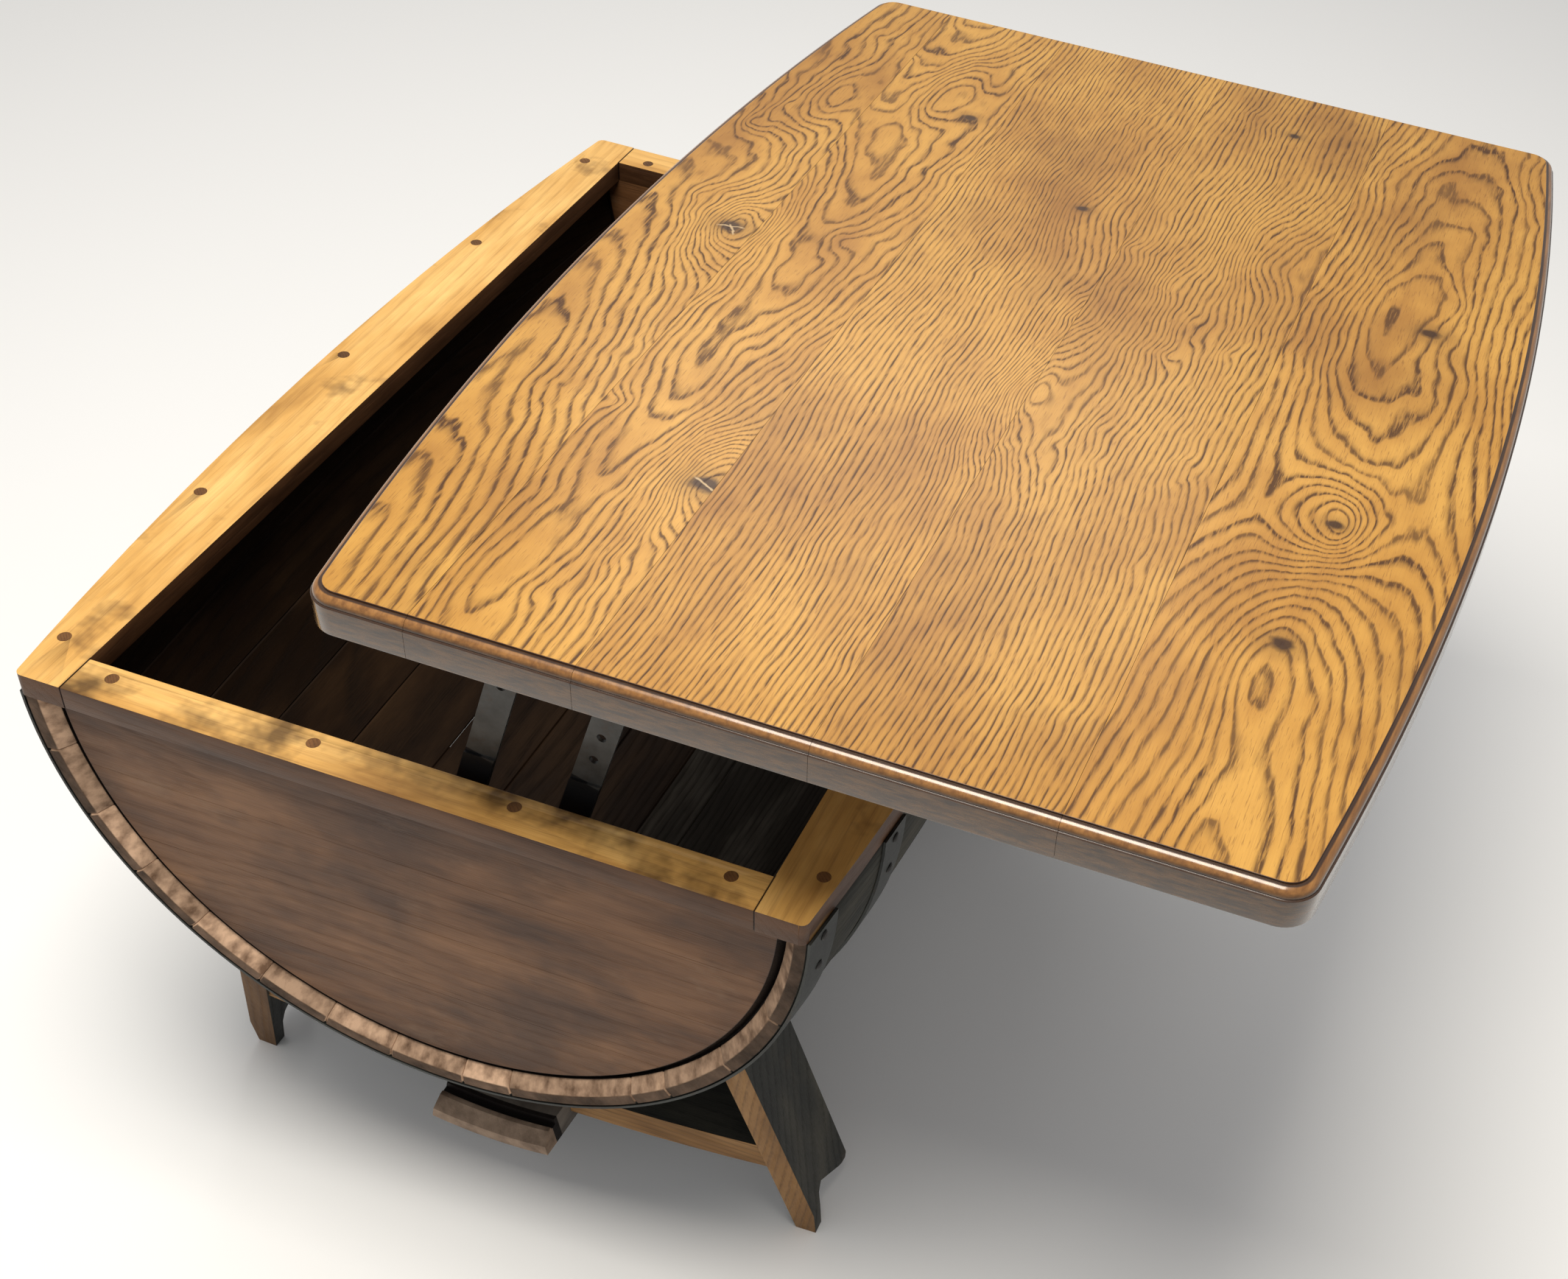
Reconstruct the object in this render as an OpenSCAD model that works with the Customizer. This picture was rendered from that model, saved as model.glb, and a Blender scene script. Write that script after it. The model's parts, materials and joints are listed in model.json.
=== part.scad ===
// Half-barrel coffee table with a lift-up oak top.
// The barrel lies along Y, the top swings up and over towards +X, Z is up.
// The origin is on the floor, under the middle of the table's outline with the top up.

/* [Barrel] */
// Length over the rim rails
barrel_len = 889; // [840:1:960]
// Outer radius of the barrel at its ends
end_radius = 304; // [290:1:320]
// How much wider the radius is at mid-length
bilge_swell = 27; // [20:1:34]
// Thickness of the staves
stave_t = 24; // [20:0.5:28]
// Height of the rim rails' upper face above the floor
rim_height = 532; // [520:1:560]
// Height of the barrel's axis above the plane it was sawn along
axis_above_cut = 8; // [4:1:24]
// How far the stave ends stand behind the rim's end face
chime_setback = 3.5; // [2:0.5:6]
// How far the head's face stands behind the rim's end face
head_setback = 11.5; // [9:0.5:14]
// Thickness of the heads
head_t = 22; // [18:0.5:26]
// Depth of the groove that holds a head
croze_depth = 5.5; // [4:0.5:7]

/* [Hoops] */
// Thickness of the hoop steel
hoop_t = 2; // [1.5:0.1:3]
// Width of the hoops at the ends of the barrel
head_hoop_w = 38; // [30:1:44]
// Width of the other hoops
hoop_w = 32; // [26:1:38]
// Distance of the quarter hoops from mid-length
quarter_hoop_y = 318; // [290:1:330]
// Distance of the bilge hoops from mid-length
bilge_hoop_y = 150; // [120:1:180]

/* [Rim] */
// Thickness of the rim rails
rail_t = 20; // [16:1:26]
// Width of the rails across the ends
end_rail_w = 34; // [30:1:38]
// Width of the opening between the side rails
opening_w = 534; // [520:1:544]
// Radius of the rim's outer corners
rail_corner_r = 6; // [3:1:18]
// Diameter of the wooden plugs over the rail screws
plug_d = 10; // [9:0.5:14]

/* [Base] */
// Distance of a foot's inner face from the middle plane
foot_x = 256; // [246:1:262]
// Distance of a foot's front corner from mid-length
foot_y = 331; // [315:1:340]
// Outward lean of the legs in degrees
leg_splay = 11; // [8:0.5:13]
// Lean of the legs' edges along the barrel in degrees
leg_rake = 10; // [6:0.5:12]
// Thickness of the leg staves
leg_t = 24; // [20:0.5:28]
// Width of the leg staves
leg_w = 72; // [64:1:84]
// Height of the arch under a leg
arch_height = 48; // [36:1:56]
// Height of a leg's heel above the floor
heel_height = 20; // [12:1:28]
// Height of the stretchers' upper face at mid-width
stretcher_z = 106; // [98:1:114]
// Rise of the stretchers from their middle to the legs
stretcher_rise = 18; // [10:1:24]
// Thickness of the stretchers
stretcher_t = 26; // [22:1:30]
// Width of the stretchers along the barrel
stretcher_w = 78; // [66:1:90]
// Length of the stave that ties the stretchers together
centre_len = 780; // [740:1:820]
// Width of that stave
centre_w = 100; // [80:1:110]
// Height of its upper corners at its ends
centre_z = 98; // [94:1:102]

/* [Lift] */
// Distance between the two pivots of a lift arm
arm_len = 238; // [232:1:242]
// Lean of the arms past upright when the top is up, in degrees
open_lean = 17; // [14:1:20]
// Lean of the arms the other way when the top is down, in degrees
closed_lean = 77; // [74:1:77]
// Width of the arms
arm_w = 22.5; // [20:0.5:24]
// Thickness of the arms
arm_t = 3; // [2.5:0.5:3.5]
// Distance between the two arms of a pair
arm_pitch = 78; // [76:1:86]
// Place of the left arm's lower pivot across the barrel
arm_x = 14; // [8:1:20]
// Height of the upper pivots below the top
pivot_drop = 16; // [15:0.5:20]
// Radius of the pivot pins
pivot_r = 4; // [3.5:0.25:4.5]
// Radial clearance of the arms on their pins
pivot_clear = 0.08; // [0.05:0.01:0.1]
// Radial clearance at the pivots that close the linkage
loop_clear = 0.15; // [0.12:0.01:0.3]
// Thickness of the hinge plates and brackets
plate_t = 3; // [2.5:0.5:3.5]
// Thickness of the black strap on the lower half of an arm
strap_t = 2; // [1.5:0.5:2.5]
// Length of that strap above the lower pivot
strap_len = 86; // [70:1:95]

/* [Top] */
// Length of the top
top_len = 964; // [940:1:1000]
// Width of the top at its ends
top_end_w = 640; // [620:1:660]
// Width of the top at its middle
top_mid_w = 715; // [700:1:740]
// Thickness of the top
top_t = 30; // [26:1:34]
// Radius of the top's corners
top_corner_r = 22; // [14:1:30]
// Height of the raised field above the moulded edge
field_step = 1.2; // [0.8:0.1:2]
// Width of the moulded edge around the field
edge_w = 7.5; // [5:0.5:14]
// Gap between the closed top and the rim
closed_gap = 0.5; // [0.4:0.1:2]
// Thickness of the battens under the top
batten_t = 18; // [14:1:20]
// Width of the battens
batten_w = 60; // [45:1:70]

/* [Hidden] */
// One list entry is one stave: its share of the half circle in degrees
STAVE_DEG = [12, 12, 11, 11.5, 12.5, 11.5, 11, 12, 8, 22.5, 7, 14, 15, 20];
// Joints between the top's boards, measured across from its middle
TOP_JOINTS = [-250, -137.5, 16, 170.5];
// Boards of a head, by the height of their joints below the sawn plane
HEAD_JOINTS = [66, 132, 201];
// Angles of the nails around each hoop
NAIL_DEG = [-177, -171, -90, -9, -3];
RAIL_SCREW_Y = [-398, -213, 0, 213, 398];
END_SCREW_X = [-240, -78, 78, 240];

joint_gap = 0.25;     // hairline between glued or coopered pieces
seat_gap = 0.2;       // face to face pieces of one body
hoop_gap = 0.3;       // hoop to staves
hole_gap = 0.1;       // screws and nails in their holes
stave_steps = 20;     // straight stretches along a stave
screw_r = 2.5;
screw_head_r = 4.5;
screw_head_t = 3;

half_len = barrel_len / 2;
stave_half = half_len - chime_setback;
head_face = half_len - head_setback;
head_back = head_face - head_t;
cut_z = rim_height - rail_t;
axis_z = cut_z + axis_above_cut;
chime_face = 10.5;    // thickness of a stave's end face
chime_depth = 10;     // length of the bevel inside a stave's end
howel = 3;            // step from a stave's inner face out to that bevel
tongue_t = 6;         // thickness of a head's edge in the groove
tongue_gap = 0.3;
croze_w = tongue_t + 2 * tongue_gap;
croze_y = head_face - 6 - croze_w / 2;

function stave_start(i) = i == 0 ? -180 : stave_start(i - 1) + STAVE_DEG[i - 1];
function outer_r(y) = end_radius + bilge_swell * (1 - pow(y / half_len, 2));
function inner_r(y) = outer_r(y) - stave_t;
head_tip_r = inner_r(croze_y) + croze_depth - tongue_gap;
head_face_r = head_tip_r - 8;
function rail_x(y) = sqrt(pow(outer_r(y), 2) - pow(axis_above_cut, 2));
function steps(a, b, n) = [for (i = [0 : n]) a + (b - a) * i / n];

hinge_board_t = 8;
plate_y = head_back - hinge_board_t;     // back of the hinge plates
plate_face = plate_y - plate_t;          // their inner face
swing_gap = 0.4;
// Distances from the plates' inner face: strap and arm of each pair
LEFT_STRAP = swing_gap;
LEFT_ARM = LEFT_STRAP + strap_t;
RIGHT_STRAP = LEFT_ARM + arm_t + swing_gap;
RIGHT_ARM = RIGHT_STRAP + strap_t;
pin_head_r = arm_pitch * cos(closed_lean) - arm_w / 2 - 0.8;    // clears the arm beside it
pin_head_t = 1.5;

top_shift = arm_len * (sin(open_lean) + sin(closed_lean));
top_z = rim_height + closed_gap + arm_len * (cos(open_lean) - cos(closed_lean));
pivot_z = top_z - pivot_drop - arm_len * cos(open_lean);
top_pivot_x = arm_x + arm_len * sin(open_lean);
top_pivot_z = top_z - pivot_drop;
flange_w = 31;
plate_margin = 23;    // plate beyond a pivot
plate_half_h = 21;
bracket_below = 12;   // bracket below its pivots
STOP_ALONG = 14;      // stop pin's place along the left arm
stop_r = 4;
stop_gap = 0.3;
top_screw_dx = [-12, 24, 52, 91];    // along a bracket, from its left pivot
batten_y = 300;
batten_half = 215;
BATTEN_SCREWS = [-195, -60, 90, 195];

centre_r = outer_r(centre_len / 2) - stave_t;
centre_axis = centre_z + sqrt(pow(centre_r, 2) - pow(centre_w / 2, 2));
centre_half_deg = asin(centre_w / 2 / centre_r);
leg_top = cut_z - outer_r(0) * 0.55;
leg_shift = leg_t / cos(leg_splay);
stretcher_front = foot_y + (stretcher_z - stretcher_t / 2) * tan(leg_rake) - 1;
leg_mid_top = axis_z - 230;    // height where the legs meet the barrel
LEG_SCREW_DY = [14, 36];
dowel_z = stretcher_z + stretcher_rise - stretcher_t / 2;
dowel_r = 5;
dowel_len = 50;
DOWEL_DY = [18, 52];

STAVES = [for (i = [0 : len(STAVE_DEG) - 1]) str("stave_", i + 1)];
TOP_BOARDS = [for (i = [0 : len(TOP_JOINTS)]) str("top_board_", i + 1)];

// ---------- shared shapes ----------

// Solid turned about the barrel's axis between two angles in the XZ plane
module turned(points, from_deg, to_deg, z = axis_z)
    translate([0, 0, z])
        rotate([90, 0, 0])
            rotate([0, 0, from_deg])
                rotate_extrude(angle = to_deg - from_deg, $fn = 180)
                    polygon(points);

// Everything above the sawn plane
module above_cut()
    translate([-500, -600, cut_z])
        cube([1000, 1200, 400]);

// s = -1 is the front end as drawn, s = 1 is its mirror image at the back
module at_end(s)
    mirror([0, s > 0 ? 1 : 0, 0])
        children();

// s = 1 is the right side as drawn, s = -1 is its mirror image on the left
module at_side(s)
    mirror([s < 0 ? 1 : 0, 0, 0])
        children();

// Round bar along +Y from y0 to y1
module bar_y(r, y0, y1)
    translate([0, y1, 0])
        rotate([90, 0, 0])
            cylinder(r = r, h = y1 - y0, $fn = 48);

// Countersunk screw along -Z with its head's face at the origin
module screw(len, grow = 0)
    rotate_extrude($fn = 36)
        polygon([[0, grow > 0 ? 1 : 0], [screw_head_r + grow, grow > 0 ? 1 : 0],
            [screw_head_r + grow, -0.4], [screw_r + grow, -screw_head_t],
            [screw_r + grow, -len + 3 - grow], [0, -len - grow]]);

// ---------- barrel ----------

// Inner side of a stave's end: bevel, step and groove, from the end inwards
function end_cuts(half, groove) =
    let (r = inner_r(groove))
    [[outer_r(half) - chime_face, half],
     [r + howel, half - chime_depth],
     [r + howel, groove + croze_w / 2],
     [r + croze_depth + hole_gap, groove + croze_w / 2],
     [r + croze_depth + hole_gap, groove - croze_w / 2],
     [r, groove - croze_w / 2]];

// Section through a stave's length: radius from the barrel's axis, place along it
function stave_outline(half, groove) =
    let (cuts = end_cuts(half, groove))
    concat([for (y = steps(-half, half, stave_steps)) [outer_r(y), y]],
        cuts,
        [for (y = steps(groove - 25, 25 - groove, stave_steps - 4)) [inner_r(y), y]],
        [for (i = [len(cuts) - 1 : -1 : 0]) [cuts[i][0], -cuts[i][1]]]);

module stave(i) {
    a0 = stave_start(i);
    a1 = a0 + STAVE_DEG[i];
    gap_deg = joint_gap / 2 / end_radius * 180 / PI;
    color("saddlebrown")
        difference() {
            turned(stave_outline(stave_half, croze_y), a0 + gap_deg, a1 - gap_deg);
            above_cut();
            for (h = HOOPS, a = NAIL_DEG)
                if (a > a0 - 1 && a < a1 + 1)
                    nail_place(h[0], a)
                        translate([0, 0, -12])
                            cylinder(r = 1.5 + hole_gap, h = 20, $fn = 24);
            if (i == 0 || i == len(STAVE_DEG) - 1)
                rail_screw_places("side")
                    screw(rail_screw_len, hole_gap);
            for (sx = [-1, 1], sy = [-1, 1], dy = LEG_SCREW_DY)
                if (abs((sx > 0 ? leg_deg : -180 - leg_deg) - (a0 + a1) / 2)
                        < (a1 - a0) / 2 + 9)
                    leg_screw_place(sx, sy, dy)
                        leg_screw(hole_gap);
        }
}

leg_deg = -acos(min(0.95, (foot_x + leg_t / 2 - leg_mid_top * tan(leg_splay)) / outer_r(foot_y)));

// A head: boards edge to edge, bevelled all round to fit the groove
module head(s) {
    rim = [[0, head_face], [head_face_r, head_face],
        [inner_r(croze_y) + howel - seat_gap, croze_y + tongue_t / 2],
        [head_tip_r, croze_y + tongue_t / 2], [head_tip_r, croze_y - tongue_t / 2],
        [inner_r(croze_y) - seat_gap, croze_y - tongue_t / 2],
        [inner_r(croze_y) - seat_gap, head_back], [0, head_back]];
    joints = concat([-1], HEAD_JOINTS, [400]);
    color("peru")
        at_end(s)
            difference() {
                for (i = [0 : len(joints) - 2])
                    intersection() {
                        turned(rim, -180, 0);
                        translate([-400, -half_len - 1, cut_z - joints[i + 1] + joint_gap / 2])
                            cube([800, 100, joints[i + 1] - joints[i] - joint_gap]);
                        translate([-400, -half_len - 1, cut_z - 400])
                            cube([800, 100, 400]);
                    }
                rail_screw_places("end")
                    screw(rail_screw_len, hole_gap);
                hinge_board_screw_places()
                    screw(hinge_board_screw_len, hole_gap);
                plate_screw_places()
                    screw(plate_screw_len, hole_gap);
            }
}

// Hoops: place along the barrel and width
HOOPS = [[-(half_len - 3 - head_hoop_w / 2), head_hoop_w], [half_len - 3 - head_hoop_w / 2, head_hoop_w],
    [-quarter_hoop_y, hoop_w], [quarter_hoop_y, hoop_w],
    [-bilge_hoop_y, hoop_w], [bilge_hoop_y, hoop_w]];

module hoop(k) {
    y = HOOPS[k][0];
    w = HOOPS[k][1];
    edge = [-w / 2, 0, w / 2];
    color("dimgray")
        difference() {
            turned(concat([for (e = edge) [outer_r(y + e) + hoop_gap, -(y + e)]],
                [for (e = [w / 2, 0, -w / 2]) [outer_r(y + e) + hoop_gap + hoop_t, -(y + e)]]),
                -180, 0);
            above_cut();
            for (a = NAIL_DEG)
                nail_place(y, a)
                    translate([0, 0, -12])
                        cylinder(r = 1.5 + hole_gap, h = 24, $fn = 24);
        }
}

// Puts a nail's head under-face on the hoop's outside, square to it, outwards along +Z
module nail_place(y, a)
    translate([0, y, axis_z])
        rotate([0, 90 - a, 0])
            translate([0, 0, outer_r(y) + hoop_gap + hoop_t + 0.1])
                rotate([-atan(2 * bilge_swell * y / pow(half_len, 2)), 0, 0])
                    children();

module hoop_nails()
    color("darkslategray")
        for (h = HOOPS, a = NAIL_DEG)
            nail_place(h[0], a)
                rotate_extrude($fn = 36)
                    polygon([[0, -11], [0.4, -11], [1.5, -8], [1.5, 0], [4, 0], [4, 0.6],
                        [3.2, 1.5], [1.8, 2], [0, 2.2]]);

// ---------- rim ----------

rail_screw_sink = 8;
rail_screw_len = 46;

module rail_screw_places(which) {
    if (which != "end")
        for (s = [-1, 1], y = RAIL_SCREW_Y)
            translate([s * (rail_x(y) - stave_t / 2), y, rim_height - rail_screw_sink])
                children();
    if (which != "side")
        for (s = [-1, 1], x = END_SCREW_X)
            translate([x, s * (head_back + head_t / 2), rim_height - rail_screw_sink])
                children();
}

// Counterbore and screw hole, open at the rail's upper face
module rail_hole() {
    screw(rail_screw_len, hole_gap);
    cylinder(r = plug_d / 2 + hole_gap, h = rail_screw_sink + 1, $fn = 48);
}

module side_rail(s) {
    y1 = half_len - rail_corner_r;
    edge = [for (y = steps(-y1, y1, 24)) [rail_x(y), y]];
    corner = [rail_x(y1) - rail_corner_r, y1];
    color("burlywood")
        difference() {
            at_side(s)
                translate([0, 0, cut_z])
                    linear_extrude(rail_t)
                        polygon(concat([[opening_w / 2, -half_len]],
                            [for (a = steps(-90, -12, 6)) [corner[0], -corner[1]]
                                + rail_corner_r * [cos(a), sin(a)]],
                            edge,
                            [for (a = steps(12, 90, 6)) corner + rail_corner_r * [cos(a), sin(a)]],
                            [[opening_w / 2, half_len]]));
            rail_screw_places("side")
                rail_hole();
        }
}

module end_rail(s)
    color("burlywood")
        difference() {
            at_end(s)
                translate([-opening_w / 2 + joint_gap, -half_len, cut_z])
                    cube([opening_w - 2 * joint_gap, end_rail_w, rail_t]);
            rail_screw_places("end")
                rail_hole();
        }

module rail_plugs()
    color("sienna")
        rail_screw_places("all")
            translate([0, 0, 0.5])
                cylinder(r = plug_d / 2, h = rail_screw_sink - 0.5, $fn = 48);

module rail_screws()
    color("silver")
        rail_screw_places("all")
            screw(rail_screw_len);

// ---------- base ----------

// Point just outside a hoop's outer face
function hoop_clear(y) = [outer_r(y) + hoop_gap + hoop_t + seat_gap, y];

// Front right leg; y counts from the foot's front corner towards the middle
module leg_blank() {
    slope = tan(leg_rake);
    points = [[0, -12], [12, -12], [14, arch_height * 0.6], [19, arch_height * 0.86], [27, arch_height],
        [leg_w - 10, heel_height + 4], [leg_w - 3, heel_height + 3], [leg_w, heel_height + 10],
        [leg_w, leg_top], [0, leg_top]];
    translate([foot_x, -foot_y, 0])
        rotate([0, -leg_splay, 0])
            rotate([90, 0, 90])
                linear_extrude(leg_t)
                    polygon([for (p = points) [p[0] - slope * max(p[1], -12), p[1]]]);
}

module leg(sx, sy)
    color("dimgray")
        at_side(sx)
            at_end(sy)
                difference() {
                    leg_blank();
                    translate([0, -600, -60])
                        cube([500, 600, 60]);
                    translate([foot_x + leg_t * 0.76, -600, -1])
                        cube([100, 600, 120]);
                    turned([[0, -500], [outer_r(0) * 0.6, -500],
                        for (y = steps(-stave_half, stave_half, stave_steps)) [outer_r(y) + seat_gap, y],
                        [outer_r(0) * 0.6, 500], [0, 500]], -90, 90);
                    turned(concat([for (e = [-1, 0, 1]) hoop_clear(quarter_hoop_y + e * (hoop_w / 2 + 0.4))],
                        [[200, quarter_hoop_y + hoop_w], [200, quarter_hoop_y - hoop_w]]), -90, 90);
                    for (dy = LEG_SCREW_DY)
                        leg_screw_place(1, -1, dy)
                            leg_screw(hole_gap);
                    for (dy = DOWEL_DY)
                        dowel_place(1, -1, dy)
                            dowel(hole_gap);
                }

leg_screw_len = 58;

// Screw down a leg's length, from inside the barrel
module leg_screw_place(sx, sy, dy)
    at_side(sx)
        at_end(sy)
            translate([foot_x + leg_shift / 2 - leg_mid_top * tan(leg_splay),
                -foot_y - leg_mid_top * tan(leg_rake) + dy, leg_mid_top])
                rotate([0, -leg_splay, 0])
                    translate([0, 0, 22])
                        children();

module leg_screw(grow = 0) {
    screw(leg_screw_len, grow);
    if (grow > 0)
        cylinder(r = screw_head_r + grow, h = 60, $fn = 36);
}

// Blind dowel between a leg's inner face and the stretcher's end, along X
module dowel_place(sx, sy, dy)
    at_side(sx)
        at_end(sy)
            translate([foot_x - dowel_z * tan(leg_splay), -foot_y - dowel_z * tan(leg_rake) + dy, dowel_z])
                rotate([0, 90, 0])
                    children();

module dowel(grow = 0)
    translate([0, 0, -dowel_len / 2 - grow])
        cylinder(r = dowel_r + grow, h = dowel_len / 2 + leg_t * 0.6 + 2 * grow, $fn = 36);

module base_dowels()
    color("tan")
        for (sx = [-1, 1], sy = [-1, 1], dy = DOWEL_DY)
            dowel_place(sx, sy, dy)
                dowel();

// Bowed stave between two legs, housed over the centre stave
module stretcher(s) {
    span = foot_x - stretcher_z * tan(leg_splay);
    top_line = [for (x = steps(-span - 20, span + 20, 28)) [x, stretcher_z + stretcher_rise * pow(x / span, 2)]];
    low_line = [for (i = [len(top_line) - 1 : -1 : 0]) top_line[i] - [0, stretcher_t]];
    lean = tan(leg_splay);
    color("dimgray")
        at_end(s)
            difference() {
                translate([0, -stretcher_front + stretcher_w, 0])
                    rotate([90, 0, 0])
                        linear_extrude(stretcher_w)
                            intersection() {
                                polygon(concat(top_line, low_line));
                                polygon([[-foot_x + seat_gap, 0], [foot_x - seat_gap, 0],
                                    [foot_x - seat_gap - 300 * lean, 300],
                                    [-foot_x + seat_gap + 300 * lean, 300]]);
                            }
                turned(concat([for (y = steps(0, centre_len / 2, 10)) [inner_r(y) - seat_gap, y]],
                    [[outer_r(0) + 60, centre_len / 2], [outer_r(0) + 60, 0]]),
                    -90 - centre_half_deg - 0.1, -90 + centre_half_deg + 0.1, centre_axis);
                for (sx = [-1, 1], dy = DOWEL_DY)
                    dowel_place(sx, -1, dy)
                        dowel(hole_gap);
                centre_screw_places(-1)
                    centre_screw(hole_gap);
            }
}

// Barrel stave laid hollow side up under the stretchers
module centre_stave() {
    half = centre_len / 2;
    color("dimgray")
        difference() {
            turned(stave_outline(half, half - (stave_half - croze_y)),
                -90 - centre_half_deg, -90 + centre_half_deg, centre_axis);
            for (s = [-1, 1])
                centre_screw_places(s)
                    centre_screw(hole_gap);
        }
}

centre_screw_len = 32;

// Screws from below through the centre stave into a stretcher
module centre_screw_places(s)
    for (x = [-28, 28])
        translate([x, s * (stretcher_front - stretcher_w / 2),
            centre_axis - outer_r(stretcher_front - stretcher_w / 2) + 4])
            rotate([180, 0, 0])
                children();

module centre_screw(grow = 0) {
    screw(centre_screw_len, grow);
    if (grow > 0)
        cylinder(r = screw_head_r + grow, h = 12, $fn = 36);
}

module base_screws()
    color("silver")
        for (s = [-1, 1]) {
            centre_screw_places(s)
                centre_screw();
            for (sx = [-1, 1], dy = LEG_SCREW_DY)
                leg_screw_place(sx, s, dy)
                    leg_screw();
        }

// ---------- lift, fixed side ----------

board_x0 = arm_x - plate_margin - 46;
board_x1 = arm_x + arm_pitch + plate_margin + 46;
board_half_h = 36;
hinge_board_screw_len = 22;

module hinge_board_screw_places()
    for (x = [board_x0 + 16, board_x1 - 16], dz = [-20, 20])
        translate([x, -plate_y, pivot_z + dz])
            rotate([-90, 0, 0])
                children();

module plate_screw_places()
    for (x = [arm_x - 15, arm_x + arm_pitch + 15], dz = [-13, 13])
        translate([x, -plate_face, pivot_z + dz])
            rotate([-90, 0, 0])
                children();

plate_screw_len = 24;

module hinge_board(s)
    color("tan")
        at_end(s)
            difference() {
                translate([board_x0, -head_back, pivot_z - board_half_h])
                    cube([board_x1 - board_x0, hinge_board_t, 2 * board_half_h]);
                hinge_board_screw_places()
                    screw(hinge_board_screw_len, hole_gap);
                plate_screw_places()
                    screw(plate_screw_len, hole_gap);
            }

// Outline with round corners, from two opposite corner points
module round_plate(x0, z0, x1, z1, r) {
    translate([x0 + r, z0])
        square([x1 - x0 - 2 * r, z1 - z0]);
    translate([x0, z0 + r])
        square([x1 - x0, z1 - z0 - 2 * r]);
    for (x = [x0 + r, x1 - r], z = [z0 + r, z1 - r])
        translate([x, z])
            circle(r = r, $fn = 32);
}

// Lays an XZ outline as a sheet whose outer face is at -y0 and inner face at -y1
module sheet(y0, y1)
    translate([0, -y1, 0])
        rotate([90, 0, 0])
            linear_extrude(y0 - y1)
                children();

function stop_x() = arm_x + STOP_ALONG * sin(open_lean) + (arm_w / 2 + stop_r + stop_gap) * cos(open_lean);
function stop_z() = pivot_z + STOP_ALONG * cos(open_lean) - (arm_w / 2 + stop_r + stop_gap) * sin(open_lean);

module hinge_plate(s)
    color("darkgray")
        at_end(s)
            difference() {
                sheet(plate_y - 0.1, plate_face)
                    round_plate(arm_x - plate_margin, pivot_z - plate_half_h,
                        arm_x + arm_pitch + plate_margin, pivot_z + plate_half_h, 6);
                for (x = [arm_x, arm_x + arm_pitch])
                    translate([x, 0, pivot_z])
                        bar_y(pivot_r + 0.05, -plate_y - 1, -plate_face + 1);
                translate([stop_x(), 0, stop_z()])
                    bar_y(stop_r + 0.05, -plate_y - 1, -plate_face + 1);
                plate_screw_places()
                    screw(plate_screw_len, hole_gap);
            }

// Pivot pin from a plate to just past an arm, with a sleeve up to the strap or arm
module pivot_pin(sleeve, arm_end) {
    bar_y(pivot_r, -plate_y + 0.3, -plate_face + arm_end + 0.2);
    bar_y(pin_head_r, -plate_face + arm_end + 0.2, -plate_face + arm_end + 0.2 + pin_head_t);
    if (sleeve > 0.5)
        difference() {
            bar_y(pin_head_r, -plate_face + 0.1, -plate_face + sleeve);
            bar_y(pivot_r + 0.05, -plate_face, -plate_face + sleeve + 1);
        }
}

module lower_pivots()
    color("lightgray")
        for (s = [-1, 1])
            at_end(s) {
                translate([arm_x, 0, pivot_z])
                    pivot_pin(0, LEFT_ARM + arm_t);
                translate([arm_x + arm_pitch, 0, pivot_z])
                    pivot_pin(RIGHT_STRAP - 0.2, RIGHT_ARM + arm_t);
                translate([stop_x(), 0, stop_z()])
                    bar_y(stop_r, -plate_y + 0.3, -plate_face + LEFT_ARM + arm_t - 0.2);
            }

module hinge_screws()
    color("silver")
        for (s = [-1, 1])
            at_end(s) {
                hinge_board_screw_places()
                    screw(hinge_board_screw_len);
                plate_screw_places()
                    screw(plate_screw_len);
            }

// ---------- lift, moving side ----------

// Holes along each arm, from its lower pivot
LEFT_HOLES = [161];
RIGHT_HOLES = [111, 135];
STRAP_RIVETS = [38, 77];

// Outline of a bar from its lower pivot upwards, leaning as it does when open
module arm_outline(len)
    rotate(-open_lean) {
        circle(r = arm_w / 2, $fn = 64);
        translate([-arm_w / 2, 0])
            square([arm_w, len]);
        translate([0, len])
            circle(r = arm_w / 2, $fn = 64);
    }

module strap_outline()
    intersection() {
        rotate(-open_lean)
            union() {
                circle(r = arm_w / 2, $fn = 64);
                translate([-arm_w / 2, 0])
                    square([arm_w, strap_len + 20]);
            }
        translate([-100, -100])
            square([200, 100 + strap_len * cos(open_lean)]);
    }

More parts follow.
